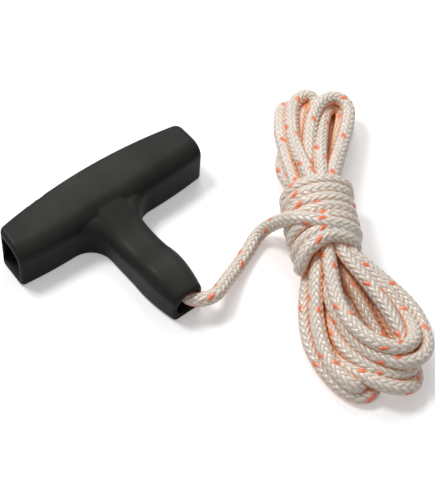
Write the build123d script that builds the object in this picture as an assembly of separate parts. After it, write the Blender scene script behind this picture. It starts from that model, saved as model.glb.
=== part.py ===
from build123d import *
import math
import os

# Starter rope: a moulded T-handle, a braided cord knotted inside its crossbar, and the hank that the cord
# is wound into. Millimetres. The handle lies on its flat underside with the crossbar along X and the stem
# towards -Y. The origin lies under the stem's axis, midway between palm bow and mouth, and everything rests
# on Z = 0.

# Crossbar
bar_length = 77.2          # end to end along the finger side
bar_shift = 1.6            # its middle lies this far to +X of the stem's axis
bar_depth = 14.4           # palm wall to finger wall beside the stem
finger_taper = 1.3         # how far the finger wall draws back at each end
bar_height = 18.4          # underside to the palm edge of the top
bar_top_drop = 1.8         # fall of the top from the palm edge to the finger wall
bar_shoulder_round = 6.0   # top edge along the finger wall
palm_bow = 3.8             # how far the palm side bows out at the middle
end_toe = 3.5              # degrees, each open end turns so that the finger side is the longer one
end_corner_round = 3.0     # plan radius where the palm side meets each open end
palm_edge_round = 1.6
under_edge_round = 1.4

# Hollow of the crossbar
bar_wall = 1.6
bar_roof = 1.9
bar_floor = 1.6
hollow_corner_round = 1.0

# Stem: half widths and heights of its stations
overall_depth = 59.0       # palm bow to mouth
ridge_start = 4.5          # behind the finger wall, where the stem's ridge comes out of the crossbar
ridge_height = 16.9
neck_half_width = 7.4
neck_height = 13.2
root_fillet = 8.6          # plan radius where the finger wall turns into the neck
root_drop = 0.2            # how far the top of the root fillets starts under the neck
root_rise = 1.6            # and how much it rises from there to the finger wall
collar_half_width = 7.5
collar_height = 13.8
collar_length = 19.2
tip_half_width = 5.6
tip_height = 13.0
collar_step = 1.2          # half the length over which the collar steps out of the neck
tip_lean = 0.25            # slope of the sides at the mouth
tip_fall = 0.15            # slope of the ridge at the mouth
stem_shoulder_round = 4.4  # top edges of the stem and its root fillets
rim_round = 1.6            # outer edge of the mouth

# Cord and its bore
cord_diameter = 5.0
bore_clearance = 0.3       # all round the cord
bore_height = 7.6          # axis above the underside
mouth_wall = 1.4           # under and over the wide mouth
mouth_width = 9.8
mouth_depth = 8.0

# Stopper knot, seated on the inner face of the finger wall
knot_diameter = 11.2
knot_length = 10.6
knot_end_diameter = 8.4

# Free run of the cord from the mouth to the hank: corners of its route, each rounded by a tangent arc
lead_corners = [
    (0.0, -27.3, 7.6),
    (2.0, -30.8, 7.8),
    (5.5, -32.9, 8.0),
    (9.6, -33.0, 7.7),
    (15.6, -30.3, 6.2),
    (23.5, -26.5, 4.0),
    (31.5, -23.5, 2.6),
    (38.8, -22.3, 2.9),
    (46.8, -24.8, 5.4),
]
arc_share = 0.45           # of the shorter run, taken up by each arc

# Hank: outline seen from above, round both lobes and the wrapped waist
hank_outline = [
    (72.7, 12.3),
    (87.7, 17.1),
    (97.6, 11.8),
    (101.7, 3.4),
    (91.5, -8.3),
    (71.6, -26.3),
    (57.4, -49.5),
    (57.5, -64.5),
    (57.8, -78.5),
    (50.8, -90.1),
    (37.9, -94.8),
    (25.4, -93.1),
    (16.9, -82.2),
    (17.6, -68.2),
    (34.8, -43.3),
    (40.2, -31.8),
    (54.2, -12.9),
]
# Hank: height at distances along it from the far end of the upper lobe
hank_far_end = (95.0, 14.7)
hank_near_end = (22.4, -92.6)
hank_heights = [
    (-8.0, 9.0),
    (14.0, 12.0),
    (42.0, 20.0),
    (60.0, 22.0),
    (78.0, 19.0),
    (104.0, 13.0),
    (136.0, 9.0),
]
hank_top_round = 3.6
hank_under_round = 1.8

palm_y = overall_depth / 2
mouth_y = palm_y - overall_depth
bar_back_y = palm_y - palm_bow
bar_front_y = bar_back_y - bar_depth
hollow_front_y = bar_front_y + bar_wall
half_finger = bar_length / 2
half_palm = half_finger - (bar_depth - finger_taper) * math.tan(math.radians(end_toe))
bore_radius = cord_diameter / 2 + bore_clearance
collar_y = mouth_y + collar_length
ridge_y = bar_front_y + ridge_start


def crossbar_plan(inset=0.0, run_out=0.0):
    """Plan of the crossbar: finger wall that draws back to its ends, bowed palm wall, toed ends."""
    front, back = bar_front_y + inset, bar_back_y - inset
    finger_x = half_finger + run_out
    palm_x = half_palm + run_out
    straight_x = neck_half_width + root_fillet + 2
    with BuildSketch(Plane.XY) as plan:
        with BuildLine():
            middle = Line((-straight_x, front), (straight_x, front))
            right = TangentArc(middle @ 1, (finger_x, front + finger_taper), tangent=(1, 0))
            left = TangentArc(middle @ 0, (-finger_x, front + finger_taper), tangent=(-1, 0))
            right_end = Line(right @ 1, (palm_x, back))
            palm = ThreePointArc(right_end @ 1, (0, palm_y - inset), (-palm_x, back))
            Line(palm @ 1, left @ 1)
        make_face()
        palm_corners = plan.vertices().group_by(Axis.Y)[-1]
        if not inset:
            fillet(palm_corners, end_corner_round)
    return Pos(bar_shift, 0) * plan.sketch


def crossbar_profile(wall=0.0, roof=0.0, floor=0.0):
    """Side view of the crossbar in the YZ plane: flat under, top that falls to the finger wall."""
    front, back = bar_front_y + wall, palm_y - wall
    with BuildSketch(Plane.YZ) as profile:
        with BuildLine():
            flat = Line((back, bar_height - roof), (bar_back_y - wall, bar_height - roof))
            top = TangentArc(flat @ 1, (front, bar_height - bar_top_drop - roof), tangent=(-1, 0))
            Polyline(top @ 1, (front, floor), (back, floor), flat @ 0)
        make_face()
    return profile.sketch


def stem_plan():
    """Plan of the stem, from inside the crossbar along neck and collar to the mouth."""
    with BuildSketch(Plane.XY) as plan:
        with BuildLine():
            neck = Line((neck_half_width, ridge_y), (neck_half_width, collar_y + collar_step))
            side = Spline(
                neck @ 1,
                (collar_half_width, collar_y - collar_step),
                (tip_half_width, mouth_y),
                tangents=((0, -1), (-tip_lean, -1)),
            )
            Polyline(side @ 1, (0, mouth_y), (0, ridge_y), neck @ 0)
        make_face()
        mirror(about=Plane.YZ)
    return plan.sketch


def stem_profile():
    """Side view of the stem: ridge that runs down to the neck, collar and mouth."""
    with BuildSketch(Plane.YZ) as profile:
        with BuildLine():
            ridge = Spline(
                (ridge_y, ridge_height),
                (bar_front_y - root_fillet, neck_height),
                (collar_y + collar_step, neck_height),
                (collar_y - collar_step, collar_height),
                (mouth_y, tip_height),
                tangents=((-1, -0.2), (-1, -tip_fall)),
            )
            Polyline(ridge @ 1, (mouth_y, 0), (ridge_y, 0), ridge @ 0)
        make_face()
    return profile.sketch


def root_plan():
    """Plan of the round roots on both sides of the neck."""
    root_x, root_y = neck_half_width + root_fillet, bar_front_y - root_fillet
    with BuildSketch(Plane.XY) as plan:
        with BuildLine():
            root = CenterArc((root_x, root_y), root_fillet, 90, 90)
            Polyline(root @ 1, (0, root_y), (0, ridge_y + 1), (root_x, ridge_y + 1), root @ 0)
        make_face()
        mirror(about=Plane.YZ)
    return plan.sketch


def root_profile():
    """Side view of the roots: their top slopes up into the crossbar."""
    start, foot = bar_front_y - root_fillet, neck_height - root_drop
    back = ridge_y + 1
    top = foot + root_rise * (back - start) / root_fillet
    with BuildSketch(Plane.YZ) as profile:
        with BuildLine():
            Polyline((start, 0), (start, foot), (back, top), (back, 0), (start, 0))
        make_face()
    return profile.sketch


def solid_between(plan, profile):
    """Solid whose outline from above is the plan and from the side the profile."""
    upright = extrude(plan, amount=bar_height)
    across = extrude(profile, amount=bar_length, both=True)
    return upright & across


def cord_bore():
    """Bore for the cord from the crossbar's hollow, and the wide mouth that it opens into."""
    through = hollow_front_y - mouth_y + 1
    bore = extrude(Rot(90, 0, 0) * Circle(bore_radius), amount=through, dir=(0, -1, 0))
    mouth_height = tip_height - 2 * mouth_wall
    middle = Pos(0, mouth_y - 1, tip_height / 2) * Rot(90, 0, 0)
    oval = middle * SlotOverall(mouth_height, mouth_width, rotation=90)
    mouth = extrude(oval, amount=mouth_depth + 1, dir=(0, 1, 0))
    return Pos(0, hollow_front_y + 0.5, bore_height) * bore + mouth


def palm_edge(body):
    """Bowed edge between the top and the palm wall."""
    upper = body.edges().filter_by(lambda edge: (edge @ 0.5).Z > bar_height - 0.1)
    return upper.filter_by(lambda edge: (edge @ 0.5).Y > palm_y - 0.1)


def hollow_body():
    """Space inside the crossbar, open at both ends, its front top corner rounded with the shoulder."""
    plan = crossbar_plan(bar_wall, run_out=5.0)
    space = solid_between(plan, crossbar_profile(bar_wall, bar_roof, bar_floor))
    lengthwise = space.edges().filter_by(Axis.X)
    front = lengthwise.filter_by(lambda edge: (edge @ 0.5).Y < hollow_front_y + 0.1)
    space = fillet(front.sort_by(Axis.Z)[-1], bar_shoulder_round - bar_wall)
    lengthwise = space.edges().filter_by(Axis.X)
    return fillet(lengthwise.group_by(Axis.Z)[0], hollow_corner_round)


def make_crossbar():
    """Crossbar before it is hollowed: rounded along the palm edge and, wider, along the finger wall."""
    body = solid_between(crossbar_plan(), crossbar_profile())
    upper = body.edges().filter_by(lambda edge: (edge @ 0.5).Z > bar_height - bar_top_drop - 0.1)
    shoulder = upper.filter_by(lambda edge: (edge @ 0.5).Y < bar_front_y + finger_taper + 0.1)
    body = fillet(shoulder, bar_shoulder_round)
    return fillet(palm_edge(body), palm_edge_round)


def make_stem():
    """Stem with its ridge, rounded along its top edges and round the rim of its mouth."""
    body = solid_between(stem_plan(), stem_profile())
    high = body.edges().filter_by(lambda edge: (edge @ 0.5).Z > neck_height - 0.5)
    sides = high.filter_by(lambda edge: abs((edge @ 0.5).X) > tip_half_width - 0.5)
    body = fillet(sides, stem_shoulder_round)
    rim = body.edges().filter_by(lambda edge: (edge @ 0.5).Y < mouth_y + 0.01)
    return fillet(rim.filter_by(lambda edge: (edge @ 0.5).Z > 0.1), rim_round)


def make_roots():
    """Round roots of the stem, a little lower than the neck where they start."""
    body = solid_between(root_plan(), root_profile())
    high = body.edges().filter_by(lambda edge: (edge @ 0.5).Z > neck_height - root_drop)
    curved = high.filter_by(lambda edge: edge.geom_type != GeomType.LINE)
    return fillet(curved, stem_shoulder_round)


def make_handle():
    """The whole moulding: crossbar, roots and stem as one body, less its hollow and its bore."""
    body = make_crossbar() + make_roots() + make_stem()
    body = fillet(body.edges().group_by(Axis.Z)[0], under_edge_round)
    return body - hollow_body() - cord_bore()


def make_knot():
    """Outer shape of the stopper knot: a barrel with its axis along the bore."""
    with BuildSketch(Plane.XY) as profile:
        with BuildLine():
            seat = Line((0, 0), (knot_end_diameter / 2, 0))
            widest = (knot_diameter / 2, knot_length / 2)
            belly = ThreePointArc(seat @ 1, widest, (knot_end_diameter / 2, knot_length))
            Polyline(belly @ 1, (0, knot_length), (0, 0))
        make_face()
    return Pos(0, hollow_front_y, bore_height) * revolve(profile.sketch, axis=Axis.Y)


def make_hank():
    """Outer shape of the hank: outline from above and heights along it, with rounded edges."""
    outline = extrude(make_face(Spline(*hank_outline, periodic=True)), amount=40)
    far, near = Vector(*hank_far_end), Vector(*hank_near_end)
    along = (near - far).normalized()
    side = Plane(origin=far, x_dir=along, z_dir=Vector(along.Y, -along.X, 0))
    (first, _), (last, _) = hank_heights[0], hank_heights[-1]
    ridge = Spline(*hank_heights)
    ends = Polyline(ridge @ 1, (last, 0), (first, 0), ridge @ 0)
    slab = extrude(side * make_face([ridge, ends]), amount=60, both=True)
    body = outline & slab
    upper = body.edges().filter_by(lambda edge: (edge @ 0.5).Z > 4)
    body = fillet(upper.filter_by(lambda edge: edge.length > 30), hank_top_round)
    return fillet(body.edges().group_by(Axis.Z)[0], hank_under_round)


def arc_radii(points):
    """Radius of the arc at each inner corner of a route."""
    radii = []
    for before, corner, after in zip(points, points[1:], points[2:]):
        run_in, run_out = Vector(*corner) - Vector(*before), Vector(*after) - Vector(*corner)
        turn = math.radians(run_in.get_angle(run_out))
        radii.append(arc_share * min(run_in.length, run_out.length) / math.tan(turn / 2))
    return radii


def make_lead(hank):
    """Cord from the knot's seat through the bore and out to the face of the hank."""
    points = [(0.0, hollow_front_y, bore_height), *lead_corners]
    radii = arc_radii(points)
    print("lead radii", [round(radius, 1) for radius in radii])
    route = FilletPolyline(*points, radius=radii)
    start = Plane(origin=route @ 0, z_dir=route % 0)
    tube = sweep(start * Circle(cord_diameter / 2), path=route)
    filled = tube.volume / (math.pi * cord_diameter**2 / 4)
    print("lead route", round(route.length, 1), "filled", round(filled, 1))
    return tube - hank


os.makedirs("parts", exist_ok=True)
handle = make_handle()
rope_knot = make_knot()
rope_hank = make_hank()
rope_lead = make_lead(rope_hank)
solids = {"handle": handle, "rope_knot": rope_knot, "rope_lead": rope_lead, "rope_hank": rope_hank}
for name, solid in solids.items():
    export_step(solid, f"parts/{name}.step")
    print(name, len(solid.solids()), round(solid.volume, 1), solid.bounding_box())
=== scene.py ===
import math

import bpy
import numpy as np
from mathutils import Matrix, Vector


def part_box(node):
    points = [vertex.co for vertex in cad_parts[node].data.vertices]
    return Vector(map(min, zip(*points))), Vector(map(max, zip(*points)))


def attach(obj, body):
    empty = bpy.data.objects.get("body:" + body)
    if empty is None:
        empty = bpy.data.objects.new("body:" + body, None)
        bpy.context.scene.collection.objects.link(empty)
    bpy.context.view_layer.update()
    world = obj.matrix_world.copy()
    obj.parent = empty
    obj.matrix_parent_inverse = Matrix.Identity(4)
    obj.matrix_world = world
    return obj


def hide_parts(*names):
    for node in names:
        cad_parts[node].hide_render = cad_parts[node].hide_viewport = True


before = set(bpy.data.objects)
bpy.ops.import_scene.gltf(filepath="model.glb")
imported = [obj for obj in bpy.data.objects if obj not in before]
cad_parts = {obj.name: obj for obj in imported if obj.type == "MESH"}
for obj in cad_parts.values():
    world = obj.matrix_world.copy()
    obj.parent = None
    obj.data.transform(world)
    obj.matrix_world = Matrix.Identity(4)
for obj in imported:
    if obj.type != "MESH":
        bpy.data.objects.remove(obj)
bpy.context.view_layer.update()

# Starter rope: a black moulded T-handle, and an ivory braided cord with an orange tracer that is knotted
# inside the handle, leaves it by the stem's mouth and is wound into a bound hank.
# Metres. The handle lies on Z = 0 with its crossbar along X and its stem towards -Y.

bl_info = {
    "name": "Starter rope",
    "version": (1, 0, 0),
    "blender": (4, 5, 0),
    "location": "3D View > Sidebar > Starter rope",
    "description": "Builds the looks of a starter rope: handle, cord, knot and stage",
    "category": "Object",
}

MM = 0.001
BODY = "root"

# The bore, the stem's mouth, and how deep in the bore the cord's line starts
BORE_HEIGHT = 7.6 * MM
MOUTH_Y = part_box("handle")[0][1]
LEAD_DEPTH = 28.5 * MM
LEAD_START_Y = MOUTH_Y + LEAD_DEPTH

# Stopper knot: scale of its loops across, along the bore and up, and steps round them. From it the cord
# goes on through a point in the bore, and stops at a small gap before the start of the cord's own line.
KNOT_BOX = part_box("rope_knot")
KNOT_LOOPS = Vector((1.395, 1.86, 1.24)) * MM
KNOT_STEPS = 24
KNOT_TAIL = 5.0 * MM
TAIL_GAP = 0.5 * MM

# Corners of the cord's free run, from inside the bore to where it starts up the side of the hank
LEAD_ROUTE = [
    (0.0, -0.0273, 0.0076),
    (0.0020, -0.0308, 0.0078),
    (0.0055, -0.0329, 0.0080),
    (0.0096, -0.0330, 0.0077),
    (0.0152, -0.0300, 0.0056),
    (0.0233, -0.0266, 0.0030),
    (0.0312, -0.0234, 0.0026),
    (0.0374, -0.0204, 0.0028),
    (0.0416, -0.0214, 0.0062),
]

# The hank has its own measures, in millimetres: along it from the middle of its waist towards the near
# lobe, across it to the right, and up. Its middle line bows, so both lobes lean to the right of the waist.
HANK_WAIST = Vector((56.9, -29.15, 0.0)) * MM
HANK_ALONG = Vector((-0.561, -0.828, 0.0)).normalized()
HANK_ACROSS = Vector((-HANK_ALONG.y, HANK_ALONG.x, 0.0))
HANK_BOW = 0.0026

# Turns that bind the waist: how far along the hank each one is at its left, top, right and underside, how
# far its middle is across, and its size. The first one crosses over the third at its top.
WRAP_TURNS = [
    (4.5, 13.6, 13.0, 17.0, -0.2, 1.0),
    (24.0, 17.2, 17.6, 15.0, -0.8, 0.93),
    (19.0, 14.6, 14.0, 12.0, -0.4, 0.97),
    (12.5, 10.0, 9.0, 8.5, -0.1, 1.0),
    (8.0, 6.2, 5.0, 4.5, -0.2, 1.0),
    (4.0, 2.4, 1.0, 0.5, -0.2, 1.0),
    (0.0, -1.4, -3.0, -3.5, -0.1, 1.0),
    (-4.0, -5.2, -6.0, -7.5, 0.1, 1.0),
]
WRAP_HALF_WIDTH = 10.9
WRAP_HALF_HEIGHT = 9.0
WRAP_MIDDLE = 11.5
WRAP_STEPS = 12

# The first turn stands out over the others on its left, and less the further it goes round
CLIMB = 0.30
CLIMB_FADE = 0.8

# Folds of the hank in the order that the cord takes them, far lobe and near lobe in turn: how far along
# the fold's end is, where its shoulders are, how far across its first and second leg are, five heights
# round it, and the place in the waist that the cord then passes through, across and up.
FOLDS = [
    (-49.0, -42.0, -7.0, -1.6, (2.6, 2.6, 2.6, 2.6, 2.6), (-1.7, 6.9)),
    (65.2, 53.0, -7.2, 16.4, (8.0, 8.5, 8.5, 7.0, 3.5), (3.8, 10.4)),
    (-49.4, -44.5, 10.6, 2.2, (6.0, 6.0, 6.0, 6.0, 6.5), (1.6, 16.0)),
    (56.5, 49.0, 13.2, 8.6, (11.5, 10.0, 7.5, 5.0, 4.0), (0.4, 10.0)),
    (-55.5, -51.0, 3.8, -3.6, (4.0, 3.0, 2.6, 2.6, 3.0), (-3.2, 10.2)),
    (63.2, 45.5, -5.8, 21.5, (9.0, 10.5, 10.5, 9.0, 8.5), (5.4, 12.0)),
    (-54.2, -47.5, 0.0, -8.8, (5.0, 5.0, 6.0, 6.5, 7.5), (-0.8, 15.8)),
    (59.4, 44.5, -4.2, 18.4, (12.5, 14.0, 14.0, 12.5, 8.5), (3.8, 14.8)),
    (-49.8, -42.5, 12.4, 0.6, (8.5, 8.5, 9.0, 9.5, 9.0), (-2.4, 13.0)),
    (68.0, 54.0, -12.4, -3.0, (6.5, 6.5, 6.0, 4.0, 2.6), (1.7, 6.9)),
    (-53.6, -49.5, -4.4, -11.2, (2.6, 2.6, 2.6, 3.5, 6.0), (-4.2, 10.0)),
    (69.0, 56.0, -7.4, 16.0, (4.5, 7.0, 7.0, 4.0, 2.6), (3.4, 5.0)),
    (-48.5, -44.0, 12.2, 4.0, (2.6, 2.6, 2.6, 2.6, 2.6), (5.0, 7.0)),
    (67.8, 51.0, 1.5, -15.2, (2.6, 2.6, 2.6, 2.6, 2.6), (-3.6, 9.0)),
]

# The last stretch of the cord, up the left of the far lobe to its cut end
CUT_STRETCH = [(-20.0, -10.6, 5.8), (-29.0, -10.6, 5.4), (-36.0, -9.6, 5.8), (-43.0, -9.6, 6.2)]

# Gates are where strands pass into the waist, along the hank. They lie wider there than in its middle.
NEAR_GATE = 19.0
FAR_GATE = -9.0
GATE_SPREAD = 1.2

# A spline cuts inside its corners, so those round a fold's end stand outside it, along and across
END_REACH = 1.08
END_SPREAD = 1.05

# Where a leg bends on its way from its gate to the fold's shoulder: shares of the way along, across and up
LEG_BEND = (0.55, 0.75, 0.6)

# Settling of the hank, on even points of its strands: those closer than the gap are pushed apart, less so
# towards the waist, and not at all within a few points of each other along the cord. In each round the
# shifts are also evened out along the cord and eased a little.
SAMPLE_STEP = 3.2
STRAND_GAP = 4.7
WAIST_GAP = 2.6
GAP_MIDDLE = 5.0
GAP_REACH = (12.0, 40.0)
LEAST_DISTANCE = 1e-6
OWN_STRETCH = 5
SETTLE_ROUNDS = 60
SETTLE_PUSH = 0.3
SETTLE_EVENING = 0.5
SETTLE_HOLD = 0.985

# Spans of a spline are read in this many steps, for the cord itself and for the hank before it settles
CORD_RESOLUTION = 6
HANK_RESOLUTION = 12

# Braid: strands each way round, how many each one passes over and under, which one is the tracer, and rings
# of the mesh in a lay
STRANDS = 8
OVER = 2
TRACER_STRAND = 4
RINGS_PER_LAY = 16

# The lower the section's power, the flatter a strand is across. The arch is the share of its height that it
# gains along a stitch. At the relief's middle the surface stays where the plain tube has it.
SECTION_POWER = 0.7
STRAND_ARCH = 0.6
RELIEF_MIDDLE = 0.75

# Sockets of the braid's node tree
BRAID_INPUTS = {
    "Line": "NodeSocketGeometry",
    "Diameter": "NodeSocketFloat",
    "Lay length": "NodeSocketFloat",
    "Stitch depth": "NodeSocketFloat",
    "Sides": "NodeSocketInt",
    "Material": "NodeSocketMaterial",
}

# Braid's finish: the tracer's dye, patches in the ivory, painted shade in the grooves between stitches and
# painted warm shade in deep places. Levels are the gain and the lift that bring a pattern to its strength.
CROWN_LEVELS = (1.8, -0.4)
DYE_SCALE = 900.0
DYE_LEVELS = (1.4, 0.35)
DYE_LEAST = 0.35
DYE_FADE = 0.8
DYE_BLEED = 0.3
IVORY_SCALE = 420.0
IVORY_LEVELS = (1.8, -0.5)
IVORY_DULLING = 0.8
GROOVE_SHADE_SHARPNESS = 2.5
GROOVE_SHADE_STRENGTH = 0.48
SHADE_REACH = 9.0 * MM
SHADE_SHARPNESS = 2.6
SHADE_STRENGTH = 1.7
SHADE_MOST = 0.9

# Moulding's finish: handling marks, fine grain, painted top light, and how much the marks change the
# roughness
MARKS_SCALE = 60.0
MARKS_DETAIL = 4.0
GRAIN_SCALE = 2600.0
TOP_LIGHT_LEVELS = (1.5, -0.15)
ROUGHNESS_SPREAD = 0.12

# Camera, set against the handle's outline and the hank
VIEW_TARGET = Vector((25.08, -14.56, 0.0)) * MM
VIEW_DISTANCE = 492.2 * MM
VIEW_ELEVATION = math.radians(53.69)
VIEW_TURN = math.radians(-43.72)
VIEW_ROLL = math.radians(4.81)
PICTURE_HEIGHT = 495
FOCAL_PIXELS = 1437
SENSOR = 36.0

# Lamps: the directions in which they stand from the object, their distance and the sides of their squares
KEY_DIRECTION = Vector((-0.20, 0.468, 0.86))
SHEEN_DIRECTION = Vector((0.36, 0.46, 0.81))
LAMP_DISTANCE = 0.6
KEY_SIZE = 0.16
SHEEN_SIZE = 0.24

WHITE = (1.0, 1.0, 1.0, 1.0)


class CordSettings(bpy.types.PropertyGroup):
    """Sizes and colours of the braided cord."""

    diameter: bpy.props.FloatProperty(
        name="Diameter",
        description="Thickness of the cord",
        default=5.0 * MM,
        unit="LENGTH",
    )
    lay_length: bpy.props.FloatProperty(
        name="Lay length",
        description="Length in which a strand goes once round",
        default=20.0 * MM,
        unit="LENGTH",
    )
    stitch_depth: bpy.props.FloatProperty(
        name="Stitch depth",
        description="Relief of the braid",
        default=0.42 * MM,
        unit="LENGTH",
    )
    sides: bpy.props.IntProperty(
        name="Sides",
        description="Points round the cord",
        default=32,
    )
    ivory: bpy.props.FloatVectorProperty(
        name="Ivory",
        description="Colour of the plain strands",
        default=(0.81, 0.72, 0.63),
        subtype="COLOR",
    )
    tracer: bpy.props.FloatVectorProperty(
        name="Tracer",
        description="Colour of the tracer strand",
        default=(0.95, 0.17, 0.05),
        subtype="COLOR",
    )
    # Painted shade, laid in the grooves between the stitches
    seam: bpy.props.FloatVectorProperty(
        name="Seam",
        description="Colour between the stitches",
        default=(0.42, 0.33, 0.25),
        subtype="COLOR",
    )
    # Painted warm shade, laid in deep places found by occlusion
    painted_shade: bpy.props.FloatVectorProperty(
        name="Shade",
        description="Warm colour of deep places",
        default=(1.0, 0.48, 0.24),
        subtype="COLOR",
    )


class HandleSettings(bpy.types.PropertyGroup):
    """Finish of the moulded handle."""

    black: bpy.props.FloatVectorProperty(
        name="Black",
        description="Colour of the moulding",
        default=(0.0075, 0.0075, 0.0072),
        subtype="COLOR",
    )
    # Painted light: a lighter colour laid on upward faces, mottled by the handling marks
    painted_top_colour: bpy.props.FloatVectorProperty(
        name="Dusty",
        description="Colour where dust lies on it",
        default=(0.034, 0.0335, 0.030),
        subtype="COLOR",
    )
    roughness: bpy.props.FloatProperty(
        name="Roughness",
        description="Roughness of the moulding",
        default=0.42,
        subtype="FACTOR",
    )
    grain: bpy.props.FloatProperty(
        name="Grain",
        description="Depth of the moulded grain",
        default=0.05 * MM,
        unit="LENGTH",
    )
    soft_edge: bpy.props.FloatProperty(
        name="Soft edge",
        description="Reach over which an edge or a crease looks rounded",
        default=1.6 * MM,
        unit="LENGTH",
    )


class StageSettings(bpy.types.PropertyGroup):
    """Floor and lamps."""

    floor_size: bpy.props.FloatProperty(
        name="Floor size",
        description="Side of the square floor",
        default=3.0,
        unit="LENGTH",
    )
    floor_colour: bpy.props.FloatVectorProperty(
        name="Floor colour",
        description="Colour of the floor",
        default=(0.82, 0.82, 0.82),
        subtype="COLOR",
    )
    floor_glow: bpy.props.FloatProperty(
        name="Floor glow",
        description="Light that the floor adds under the object, where it is looked at",
        default=0.3,
    )
    floor_near: bpy.props.FloatProperty(
        name="Floor near",
        description="Distance from the object at which the floor starts to turn plain white",
        default=0.12,
        unit="LENGTH",
    )
    floor_far: bpy.props.FloatProperty(
        name="Floor far",
        description="Distance from the object beyond which the floor is plain white",
        default=0.40,
        unit="LENGTH",
    )
    surround: bpy.props.FloatProperty(
        name="Surround",
        description="Strength of the light from the surround",
        default=0.36,
    )
    key_power: bpy.props.FloatProperty(
        name="Key power",
        description="Power of the key lamp",
        default=2.15,
        unit="POWER",
    )
    sheen_power: bpy.props.FloatProperty(
        name="Sheen power",
        description="Power of the lamp behind, which gives the moulding its sheen",
        default=1.0,
        unit="POWER",
    )


def feed(tree, slot, value):
    """Feeds a node's input from a socket, or sets it to a plain value."""
    if isinstance(value, bpy.types.NodeSocket):
        tree.links.new(value, slot)
    else:
        slot.default_value = value


def set_inputs(node, values):
    """Sets a node's inputs by their names."""
    for name, value in values.items():
        node.inputs[name].default_value = value


def calc(tree, operation, *values):
    """Math node in any tree, fed by sockets or plain numbers. Returns its result."""
    node = tree.nodes.new("ShaderNodeMath")
    node.operation = operation
    for slot, value in zip(node.inputs, values):
        feed(tree, slot, value)
    return node.outputs[0]


def weave(tree, lays, turn):
    """Two-over, two-under braid. Takes the place along the cord in lays and round it in turns.

    Returns the height of the strand on top, from 0 to 1, then 1 where that strand is the tracer and
    otherwise 0, and the nearness of the tracer's stitches.
    """
    right = calc(tree, "MULTIPLY", calc(tree, "ADD", turn, lays), STRANDS)
    left = calc(tree, "MULTIPLY", calc(tree, "SUBTRACT", turn, lays), STRANDS)
    right_number = calc(tree, "FLOOR", right)
    left_number = calc(tree, "FLOOR", left)
    right_run = calc(tree, "FLOORED_MODULO", calc(tree, "ADD", right_number, left), 2 * OVER)
    left_run = calc(tree, "FLOORED_MODULO", calc(tree, "ADD", right, left_number), 2 * OVER)
    right_on_top = calc(tree, "LESS_THAN", right_run, OVER)
    heights = []
    for across, along in ((right, right_run), (left, left_run)):
        crown = calc(tree, "SINE", calc(tree, "MULTIPLY", calc(tree, "FRACT", across), math.pi))
        rounded = calc(tree, "POWER", calc(tree, "MAXIMUM", crown, 0.0), SECTION_POWER)
        arch = calc(tree, "ABSOLUTE", calc(tree, "SINE", calc(tree, "MULTIPLY", along, math.pi / OVER)))
        arch = calc(tree, "MULTIPLY_ADD", arch, STRAND_ARCH, 1 - STRAND_ARCH)
        heights.append(calc(tree, "MULTIPLY", rounded, arch))
    left_part = calc(tree, "MULTIPLY", heights[1], calc(tree, "SUBTRACT", 1, right_on_top))
    height = calc(tree, "MULTIPLY_ADD", heights[0], right_on_top, left_part)
    aside = calc(tree, "SUBTRACT", calc(tree, "FLOORED_MODULO", right, STRANDS), TRACER_STRAND + 0.5)
    aside = calc(tree, "ABSOLUTE", aside)
    is_tracer = calc(tree, "MULTIPLY", calc(tree, "LESS_THAN", aside, 0.5), right_on_top)
    swell = calc(tree, "MULTIPLY", calc(tree, "ADD", left, TRACER_STRAND), math.pi / OVER)
    swell = calc(tree, "MAXIMUM", calc(tree, "SINE", swell), 0.0)
    near = calc(tree, "MAXIMUM", calc(tree, "MULTIPLY_ADD", aside, -DYE_FADE, 1.0), 0.0)
    return height, is_tracer, calc(tree, "MULTIPLY", near, swell)


def new_material(name):
    """Material with a Principled surface at its defaults. Returns it, its tree and its shader."""
    material = bpy.data.materials.new(name)
    material.use_nodes = True
    return material, material.node_tree, material.node_tree.nodes["Principled BSDF"]


def mix_colours(tree, factor, *colours):
    """Mix of two colours, which are sockets or plain colours."""
    node = tree.nodes.new("ShaderNodeMix")
    node.data_type = "RGBA"
    tree.links.new(factor, node.inputs["Factor"])
    slots = [slot for slot in node.inputs if slot.type == "RGBA"]
    for slot, colour in zip(slots, colours):
        opaque = colour if isinstance(colour, bpy.types.NodeSocket) else (*colour, 1.0)
        feed(tree, slot, opaque)
    return next(slot for slot in node.outputs if slot.type == "RGBA")


def object_noise(tree, scale, detail=2.0):
    """Noise on the piece's own coordinates."""
    place = tree.nodes.new("ShaderNodeTexCoord")
    noise = tree.nodes.new("ShaderNodeTexNoise")
    set_inputs(noise, {"Scale": scale, "Detail": detail})
    tree.links.new(place.outputs["Object"], noise.inputs["Vector"])
    return noise.outputs["Fac"]


def bump_surface(tree, shader, height, strength, depth):
    """Bump of the shader's surface. Returns its node."""
    bump = tree.nodes.new("ShaderNodeBump")
    set_inputs(bump, {"Strength": strength, "Distance": depth})
    tree.links.new(height, bump.inputs["Height"])
    tree.links.new(bump.outputs["Normal"], shader.inputs["Normal"])
    return bump


def painted_warm_shade(tree, colour, painted_shade):
    """Painted warm shade in deep places found by occlusion, tinted as light through nylon would be."""
    cover = tree.nodes.new("ShaderNodeAmbientOcclusion")
    cover.samples = 8
    cover.inputs["Distance"].default_value = SHADE_REACH
    depth = calc(tree, "POWER", calc(tree, "SUBTRACT", 1, cover.outputs["AO"]), SHADE_SHARPNESS)
    depth = calc(tree, "MINIMUM", calc(tree, "MULTIPLY", depth, SHADE_STRENGTH), SHADE_MOST)
    return mix_colours(tree, depth, colour, painted_shade)


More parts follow.
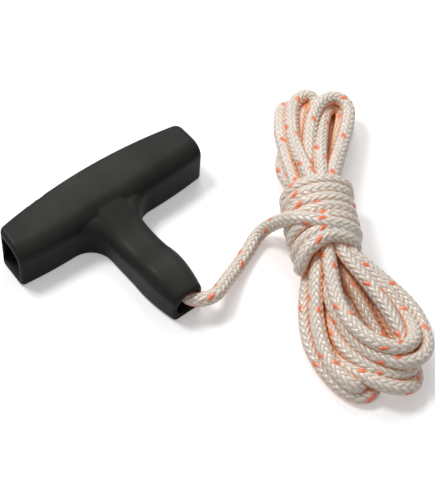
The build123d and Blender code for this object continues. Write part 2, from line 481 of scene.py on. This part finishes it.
def braid_material(cord):
    """Glossy nylon braid: relief, painted shade in grooves, painted warm shade in deep places, orange
    tracer.
    """
    material, tree, shader = new_material("braided nylon")
    weave_place = tree.nodes.new("ShaderNodeAttribute")
    weave_place.attribute_name = "weave"
    parts = tree.nodes.new("ShaderNodeSeparateXYZ")
    tree.links.new(weave_place.outputs["Vector"], parts.inputs[0])
    turn = calc(tree, "DIVIDE", calc(tree, "ARCTAN2", parts.outputs[1], parts.outputs[0]), 2 * math.pi)
    height, is_tracer, near_tracer = weave(tree, parts.outputs[2], turn)

    crown = calc(tree, "MULTIPLY_ADD", height, *CROWN_LEVELS)
    dye = calc(tree, "MULTIPLY_ADD", object_noise(tree, DYE_SCALE), *DYE_LEVELS)
    dye = calc(tree, "MAXIMUM", calc(tree, "MULTIPLY", crown, dye), DYE_LEAST)
    stitch = calc(tree, "MULTIPLY", is_tracer, dye)
    dyed = calc(tree, "MINIMUM", calc(tree, "MULTIPLY_ADD", near_tracer, DYE_BLEED, stitch), 1.0)

    dull = tuple(channel * IVORY_DULLING for channel in cord.ivory)
    patches = calc(tree, "MULTIPLY_ADD", object_noise(tree, IVORY_SCALE), *IVORY_LEVELS)
    strand = mix_colours(tree, dyed, mix_colours(tree, patches, cord.ivory, dull), cord.tracer)
    # Painted shade: the lower a place lies between the stitches, the more its colour turns to the groove
    # shade
    gap = calc(tree, "POWER", calc(tree, "SUBTRACT", 1, height), GROOVE_SHADE_SHARPNESS)
    groove_shaded = mix_colours(tree, calc(tree, "MULTIPLY", gap, GROOVE_SHADE_STRENGTH), strand, cord.seam)
    # Painted warm shade laid over the colour in deep places
    tree.links.new(painted_warm_shade(tree, groove_shaded, cord.painted_shade), shader.inputs["Base Color"])
    finish = {
        "Roughness": 0.26,
        "Specular IOR Level": 0.6,
        "Subsurface Weight": 0.2,
        "Subsurface Radius": (1.0, 0.5, 0.3),
        "Subsurface Scale": 2.5 * MM,
    }
    set_inputs(shader, finish)
    bump_surface(tree, shader, height, strength=0.85, depth=cord.stitch_depth)
    return material


def moulding_material(handle):
    """Satin black moulding with a fine grain, faint handling marks and painted light on upward faces."""
    material, tree, shader = new_material("black moulding")
    marks = object_noise(tree, MARKS_SCALE, MARKS_DETAIL)
    facing = tree.nodes.new("ShaderNodeNewGeometry")
    directions = tree.nodes.new("ShaderNodeSeparateXYZ")
    tree.links.new(facing.outputs["Normal"], directions.inputs[0])
    # Painted light: the more a face turns up, the lighter it is made, mottled by the handling marks
    upward = calc(tree, "MAXIMUM", directions.outputs[2], 0.0)
    top_light = calc(tree, "MULTIPLY", upward, calc(tree, "MULTIPLY_ADD", marks, *TOP_LIGHT_LEVELS))
    tree.links.new(mix_colours(tree, top_light, handle.black, handle.painted_top_colour), shader.inputs["Base Color"])
    least = handle.roughness - ROUGHNESS_SPREAD / 2
    tree.links.new(calc(tree, "MULTIPLY_ADD", marks, ROUGHNESS_SPREAD, least), shader.inputs["Roughness"])
    shader.inputs["Specular IOR Level"].default_value = 0.08
    bump = bump_surface(tree, shader, object_noise(tree, GRAIN_SCALE), strength=0.35, depth=handle.grain)
    soft_edge = tree.nodes.new("ShaderNodeBevel")
    soft_edge.samples = 8
    soft_edge.inputs["Radius"].default_value = handle.soft_edge
    tree.links.new(soft_edge.outputs["Normal"], bump.inputs["Normal"])
    return material


def braid_tube(tree, given):
    """Plain tube along the line. Returns its mesh, and the place along it in lays and round it in turns."""
    nodes, links = tree.nodes, tree.links
    curve = nodes.new("GeometryNodeMeshToCurve")
    links.new(given["Line"], curve.inputs["Mesh"])
    rings = nodes.new("GeometryNodeResampleCurve")
    rings.mode = "LENGTH"
    links.new(curve.outputs["Curve"], rings.inputs["Curve"])
    links.new(calc(tree, "DIVIDE", given["Lay length"], RINGS_PER_LAY), rings.inputs["Length"])
    ring_place = nodes.new("GeometryNodeSplineParameter")
    keep_ring = nodes.new("GeometryNodeCaptureAttribute")
    keep_ring.capture_items.new("FLOAT", "Lays")
    links.new(rings.outputs["Curve"], keep_ring.inputs["Geometry"])
    links.new(calc(tree, "DIVIDE", ring_place.outputs["Index"], RINGS_PER_LAY), keep_ring.inputs["Lays"])

    section = nodes.new("GeometryNodeCurvePrimitiveCircle")
    links.new(given["Sides"], section.inputs["Resolution"])
    links.new(calc(tree, "MULTIPLY", given["Diameter"], 0.5), section.inputs["Radius"])
    side_place = nodes.new("GeometryNodeSplineParameter")
    keep_side = nodes.new("GeometryNodeCaptureAttribute")
    keep_side.capture_items.new("FLOAT", "Turn")
    links.new(section.outputs["Curve"], keep_side.inputs["Geometry"])
    links.new(side_place.outputs["Factor"], keep_side.inputs["Turn"])

    tube = nodes.new("GeometryNodeCurveToMesh")
    tube.inputs["Fill Caps"].default_value = True
    links.new(keep_ring.outputs["Geometry"], tube.inputs["Curve"])
    links.new(keep_side.outputs["Geometry"], tube.inputs["Profile Curve"])
    return tube.outputs["Mesh"], keep_ring.outputs["Lays"], keep_side.outputs["Turn"]


def mark_weave(tree, mesh, lays, turn):
    """Keeps the place in the braid on the mesh: round the cord as a direction, and along it in lays."""
    angle = calc(tree, "MULTIPLY", turn, 2 * math.pi)
    place = tree.nodes.new("ShaderNodeCombineXYZ")
    for slot, value in zip(place.inputs, (calc(tree, "COSINE", angle), calc(tree, "SINE", angle), lays)):
        tree.links.new(value, slot)
    named = tree.nodes.new("GeometryNodeStoreNamedAttribute")
    named.data_type = "FLOAT_VECTOR"
    named.domain = "POINT"
    named.inputs["Name"].default_value = "weave"
    tree.links.new(mesh, named.inputs["Geometry"])
    tree.links.new(place.outputs[0], named.inputs["Value"])
    return named.outputs["Geometry"]


def raise_strands(tree, mesh, height, depth):
    """Moves the surface out and in by the height of the strands. Returns the node."""
    rise = calc(tree, "MULTIPLY", calc(tree, "SUBTRACT", height, RELIEF_MIDDLE), depth)
    normal = tree.nodes.new("GeometryNodeInputNormal")
    offset = tree.nodes.new("ShaderNodeVectorMath")
    offset.operation = "SCALE"
    tree.links.new(normal.outputs["Normal"], offset.inputs[0])
    tree.links.new(rise, offset.inputs["Scale"])
    raised = tree.nodes.new("GeometryNodeSetPosition")
    tree.links.new(mesh, raised.inputs["Geometry"])
    tree.links.new(offset.outputs[0], raised.inputs["Offset"])
    return raised


def braid_tree():
    """Geometry Nodes tree that turns a line into a braided cord with relief and weave places."""
    tree = bpy.data.node_groups.new("braided cord", "GeometryNodeTree")
    for name, kind in BRAID_INPUTS.items():
        tree.interface.new_socket(name, in_out="INPUT", socket_type=kind)
    tree.interface.new_socket("Cord", in_out="OUTPUT", socket_type="NodeSocketGeometry")
    given = tree.nodes.new("NodeGroupInput").outputs
    tube, lays, turn = braid_tube(tree, given)
    marked = mark_weave(tree, tube, lays, turn)
    height = weave(tree, lays, turn)[0]
    raised = raise_strands(tree, marked, height, given["Stitch depth"])
    smooth = tree.nodes.new("GeometryNodeSetShadeSmooth")
    realized = tree.nodes.new("GeometryNodeRealizeInstances")
    finish = tree.nodes.new("GeometryNodeSetMaterial")
    tree.links.new(given["Material"], finish.inputs["Material"])
    steps = (raised, smooth, realized, finish, tree.nodes.new("NodeGroupOutput"))
    for before, after in zip(steps, steps[1:]):
        tree.links.new(before.outputs[0], after.inputs[0])
    return tree


def add_object(name, data):
    """Object in the scene, at the origin."""
    item = bpy.data.objects.new(name, data)
    bpy.context.collection.objects.link(item)
    return item


def plain_mesh(item):
    """Mesh of an object as its spline or its modifiers give it."""
    graph = bpy.context.evaluated_depsgraph_get()
    return bpy.data.meshes.new_from_object(item.evaluated_get(graph))


def spline_line(name, points, resolution):
    """Points read from the NURBS spline of a route, as a mesh."""
    curve = bpy.data.curves.new(name + "_route", "CURVE")
    curve.dimensions = "3D"
    curve.resolution_u = resolution
    spline = curve.splines.new("NURBS")
    spline.points.add(len(points) - 1)
    for slot, point in zip(spline.points, points):
        slot.co = (*point, 1.0)
    spline.order_u = 3
    spline.use_endpoint_u = True
    holder = add_object(name + "_route", curve)
    line = plain_mesh(holder)
    bpy.data.objects.remove(holder)
    return line


def braided_piece(name, points, cord, material):
    """Braided cord along a route. Returns the finished piece and the line that it follows."""
    line = spline_line(name, points, CORD_RESOLUTION)
    path = [tuple(vertex.co) for vertex in line.vertices]
    piece = add_object(name, line)
    modifier = piece.modifiers.new("braid", "NODES")
    modifier.node_group = bpy.data.node_groups.get("braided cord") or braid_tree()
    values = {
        "Diameter": cord.diameter,
        "Lay length": cord.lay_length,
        "Stitch depth": cord.stitch_depth,
        "Sides": cord.sides,
        "Material": material,
    }
    for socket in modifier.node_group.interface.items_tree:
        if socket.name in values:
            modifier[socket.identifier] = values[socket.name]
    mesh = plain_mesh(piece)
    piece.modifiers.remove(modifier)
    piece.data = mesh
    return piece, path


def hank_place(along, across, up):
    """Point of the hank's own measures, in metres in the frame."""
    sideways = across + HANK_BOW * along * along
    return HANK_WAIST + (HANK_ALONG * along + HANK_ACROSS * sideways + Vector((0, 0, up))) * MM


def wrap_route():
    """Turns round the waist, in the hank's measures. The first one climbs over the others on its left."""
    points = []
    for number, (left, top, right, under, middle, size) in enumerate(WRAP_TURNS):
        following = WRAP_TURNS[number + 1][0] if number + 1 < len(WRAP_TURNS) else under
        stations = (left, top, right, under, following)
        for step in range(WRAP_STEPS):
            angle = 2 * math.pi * step / WRAP_STEPS
            along = np.interp(4 * step / WRAP_STEPS, range(5), stations)
            outward = size
            if number == 0:
                outward += CLIMB * max(0.0, math.cos(angle * CLIMB_FADE))
            across = middle - WRAP_HALF_WIDTH * outward * math.cos(angle)
            up = WRAP_MIDDLE + WRAP_HALF_HEIGHT * outward * math.sin(angle)
            points.append((along, across, up))
    return points[1:-1]


def gate_point(gate, waist):
    """Point where a strand passes a gate of the waist."""
    return (gate, waist[0] * GATE_SPREAD, waist[1])


def leg_point(gate, shoulder, waist, side, up):
    """Point where a leg bends, part of the way from the waist to a fold's shoulder."""
    start, end = (gate, *waist), (shoulder, side, up)
    return tuple(low + share * (high - low) for low, high, share in zip(start, end, LEG_BEND))


def fold_route(fold, before):
    """One fold: out from the waist by its first leg, round its end and back by its second leg."""
    end, shoulder, first, second, heights, after = fold
    gate = NEAR_GATE if end > 0 else FAR_GATE
    middle, half = (first + second) / 2, (second - first) / 2
    points = []
    if before:
        points += [gate_point(gate, before), leg_point(gate, shoulder, before, first, heights[0])]
    for step, up in enumerate(heights):
        angle = math.pi * step / (len(heights) - 1)
        along = shoulder + (end - shoulder) * math.sin(angle) * END_REACH
        points.append((along, middle - half * END_SPREAD * math.cos(angle), up))
    points += [leg_point(gate, shoulder, after, second, heights[-1]), gate_point(gate, after)]
    points.append(((NEAR_GATE + FAR_GATE) / 2, *after))
    return points


def even_points(line, step):
    """Points at even distances along a line that was read from a spline."""
    corners = np.array([vertex.co for vertex in line.vertices])
    reach = np.concatenate([[0], np.cumsum(np.linalg.norm(np.diff(corners, axis=0), axis=1))])
    stations = np.linspace(0, reach[-1], int(reach[-1] / step) + 1)
    return np.stack([np.interp(stations, reach, corners[:, axis]) for axis in range(3)], axis=1)


def settle(strands, floor):
    """Eases strands of the hank apart where they lie in each other, and keeps them on the floor."""
    shift = np.zeros_like(strands)
    number = np.arange(len(strands))
    neighbours = np.abs(number[:, None] - number[None, :]) < OWN_STRETCH
    own_gap = np.interp(np.abs(strands[:, 0] - GAP_MIDDLE), GAP_REACH, (WAIST_GAP, STRAND_GAP))
    gap = (own_gap[:, None] + own_gap[None, :]) / 2
    for _ in range(SETTLE_ROUNDS):
        place = strands + shift
        apart = place[:, None, :] - place[None, :, :]
        distance = np.linalg.norm(apart, axis=2) + LEAST_DISTANCE
        push = np.clip(gap - distance, 0, None) * (~neighbours)
        shift += SETTLE_PUSH * (apart / distance[:, :, None] * push[:, :, None]).sum(axis=1)
        evened = (shift[:-2] + shift[2:]) / 2
        shift[1:-1] += SETTLE_EVENING * (evened - shift[1:-1])
        shift *= SETTLE_HOLD
        shift[:, 2] = np.maximum(shift[:, 2], floor - strands[:, 2])
    return strands + shift


def hank_route(cord):
    """Folds and cut stretch as even, settled points, in the hank's measures.

    They are read from a spline whose end corners are doubled, so that it starts and stops straight.
    """
    corners = []
    waist = None
    for fold in FOLDS:
        corners += fold_route(fold, waist)
        waist = fold[-1]
    corners += [gate_point(FAR_GATE, waist), *CUT_STRETCH]
    line = spline_line("hank", [corners[0], *corners, corners[-1]], HANK_RESOLUTION)
    return settle(even_points(line, SAMPLE_STEP), cord.diameter / 2 / MM)


def cord_route(cord):
    """Control points of the whole cord, in metres: bore, free run, wraps, folds and cut stretch."""
    hank = [tuple(hank_place(*point)) for point in [*wrap_route(), *hank_route(cord)]]
    return [(0.0, LEAD_START_Y, BORE_HEIGHT), *LEAD_ROUTE, *hank]


def knot_route():
    """Overhand knot inside the crossbar, with the short stretch of cord from it into the bore."""
    front_y = KNOT_BOX[0][1]
    centre = Vector((0.0, (front_y + KNOT_BOX[1][1]) / 2, BORE_HEIGHT))
    points = []
    for step in range(1, KNOT_STEPS):
        angle = 2 * math.pi * step / KNOT_STEPS - math.pi / 2
        across = math.sin(angle) + 2 * math.sin(2 * angle)
        up = math.cos(angle) - 2 * math.cos(2 * angle)
        points.append(tuple(centre + Vector((across, -math.sin(3 * angle), up)) * KNOT_LOOPS))
    tail = (front_y, front_y - KNOT_TAIL, LEAD_START_Y + TAIL_GAP)
    return points + [(0.0, y, BORE_HEIGHT) for y in tail]


def looked_at(tree):
    """1 where the camera sees a place directly, mirrored or through something clear, and otherwise 0."""
    path = tree.nodes.new("ShaderNodeLightPath").outputs
    mirrored = calc(tree, "MAXIMUM", path["Is Glossy Ray"], path["Is Transmission Ray"])
    return calc(tree, "MAXIMUM", path["Is Camera Ray"], mirrored)


def floor_material(stage):
    """Matt white table that looks brighter than it lights, the more so away from the object."""
    material, tree, shader = new_material("white table")
    finish = {
        "Base Color": (*stage.floor_colour, 1.0),
        "Roughness": 0.9,
        "Specular IOR Level": 0.0,
        "Emission Color": WHITE,
    }
    set_inputs(shader, finish)
    place = tree.nodes.new("ShaderNodeTexCoord")
    reach = tree.nodes.new("ShaderNodeVectorMath")
    reach.operation = "DISTANCE"
    reach.inputs[1].default_value = VIEW_TARGET
    tree.links.new(place.outputs["Object"], reach.inputs[0])
    away = tree.nodes.new("ShaderNodeMapRange")
    spread = {
        "From Min": stage.floor_near,
        "From Max": stage.floor_far,
        "To Min": stage.floor_glow,
    }
    set_inputs(away, spread)
    tree.links.new(reach.outputs["Value"], away.inputs["Value"])
    glow = calc(tree, "MULTIPLY", looked_at(tree), away.outputs["Result"])
    tree.links.new(glow, shader.inputs["Emission Strength"])
    return material


def lay_floor(stage):
    """Floor under the object."""
    half = stage.floor_size / 2
    corners = [(-half, -half, 0), (half, -half, 0), (half, half, 0), (-half, half, 0)]
    mesh = bpy.data.meshes.new("floor")
    mesh.from_pydata(corners, [], [(0, 1, 2, 3)])
    mesh.materials.append(floor_material(stage))
    add_object("floor", mesh)


def area_lamp(name, power, size, direction):
    """Square lamp that faces the object from a direction."""
    data = bpy.data.lights.new(name, "AREA")
    data.energy = power
    data.size = size
    lamp = add_object(name, data)
    lamp.location = VIEW_TARGET + direction * LAMP_DISTANCE
    lamp.rotation_euler = (-direction).to_track_quat("-Z", "Y").to_euler()


def set_lamps(stage):
    """Surround that looks white but lights less, a key lamp on the left and a sheen lamp behind."""
    world = bpy.data.worlds.new("white surround")
    bpy.context.scene.world = world
    world.use_nodes = True
    tree = world.node_tree
    background = tree.nodes["Background"]
    background.inputs["Color"].default_value = WHITE
    strength = calc(tree, "MULTIPLY_ADD", looked_at(tree), 1.0 - stage.surround, stage.surround)
    tree.links.new(strength, background.inputs["Strength"])
    area_lamp("key", stage.key_power, KEY_SIZE, KEY_DIRECTION)
    area_lamp("sheen", stage.sheen_power, SHEEN_SIZE, SHEEN_DIRECTION)


def set_camera(scene):
    """Camera at the photo's angle."""
    level = Vector((math.sin(VIEW_TURN), -math.cos(VIEW_TURN), 0.0))
    back = level * math.cos(VIEW_ELEVATION) + Vector((0, 0, math.sin(VIEW_ELEVATION)))
    right = Vector((-level.y, level.x, 0.0))
    up = back.cross(right)
    rolled_right = right * math.cos(VIEW_ROLL) + up * math.sin(VIEW_ROLL)
    rolled_up = up * math.cos(VIEW_ROLL) - right * math.sin(VIEW_ROLL)
    data = bpy.data.cameras.new("camera")
    data.sensor_width = SENSOR
    data.lens = SENSOR * FOCAL_PIXELS / PICTURE_HEIGHT
    camera = add_object("camera", data)
    turn = Matrix((rolled_right, rolled_up, back)).transposed().to_4x4()
    camera.matrix_world = Matrix.Translation(VIEW_TARGET + back * VIEW_DISTANCE) @ turn
    scene.camera = camera


class STARTER_ROPE_OT_handle(bpy.types.Operator):
    """Gives the moulded handle its finish"""

    bl_idname = "starter_rope.handle"
    bl_label = "Finish the handle"

    def execute(self, context):
        material = moulding_material(context.scene.starter_rope_handle)
        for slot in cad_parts["handle"].material_slots:
            slot.material = material
        return {"FINISHED"}


class STARTER_ROPE_OT_cord(bpy.types.Operator):
    """Makes the braided cord with its hank, and the knot inside the handle"""

    bl_idname = "starter_rope.cord"
    bl_label = "Make the cord"

    def execute(self, context):
        cord = context.scene.starter_rope_cord
        material = braid_material(cord)
        knot, _ = braided_piece("stopper_knot", knot_route(), cord, material)
        rope, path = braided_piece("starter_cord", cord_route(cord), cord, material)
        for piece in (knot, rope):
            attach(piece, BODY)
        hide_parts("rope_knot")
        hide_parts("rope_lead", "rope_hank")
        return {"FINISHED"}


class STARTER_ROPE_OT_stage(bpy.types.Operator):
    """Lays the floor and sets the lamps and the camera"""

    bl_idname = "starter_rope.stage"
    bl_label = "Set the stage"

    def execute(self, context):
        stage = context.scene.starter_rope_stage
        lay_floor(stage)
        set_lamps(stage)
        set_camera(context.scene)
        context.scene.view_settings.view_transform = "Standard"
        return {"FINISHED"}


class STARTER_ROPE_PT_panel(bpy.types.Panel):
    """Lists the settings and the steps that build the starter rope"""

    bl_idname = "STARTER_ROPE_PT_panel"
    bl_label = "Starter rope"
    bl_space_type = "VIEW_3D"
    bl_region_type = "UI"
    bl_category = "Starter rope"

    def draw(self, context):
        scene = context.scene
        for settings in (scene.starter_rope_handle, scene.starter_rope_cord, scene.starter_rope_stage):
            for name in settings.__annotations__:
                self.layout.prop(settings, name)
        for step in STEPS:
            self.layout.operator(step.bl_idname)


STEPS = (STARTER_ROPE_OT_handle, STARTER_ROPE_OT_cord, STARTER_ROPE_OT_stage)
CLASSES = (HandleSettings, CordSettings, StageSettings, *STEPS, STARTER_ROPE_PT_panel)


def register():
    """Registers the classes and ties the settings to the scene."""
    for item in CLASSES:
        bpy.utils.register_class(item)
    bpy.types.Scene.starter_rope_handle = bpy.props.PointerProperty(type=HandleSettings)
    bpy.types.Scene.starter_rope_cord = bpy.props.PointerProperty(type=CordSettings)
    bpy.types.Scene.starter_rope_stage = bpy.props.PointerProperty(type=StageSettings)


def unregister():
    """Takes away the settings and the classes."""
    del bpy.types.Scene.starter_rope_stage
    del bpy.types.Scene.starter_rope_cord
    del bpy.types.Scene.starter_rope_handle
    for item in reversed(CLASSES):
        bpy.utils.unregister_class(item)


def main():
    """Builds every piece and the stage."""
    register()
    bpy.ops.starter_rope.handle()
    bpy.ops.starter_rope.cord()
    bpy.ops.starter_rope.stage()


if __name__ == "__main__":
    main()
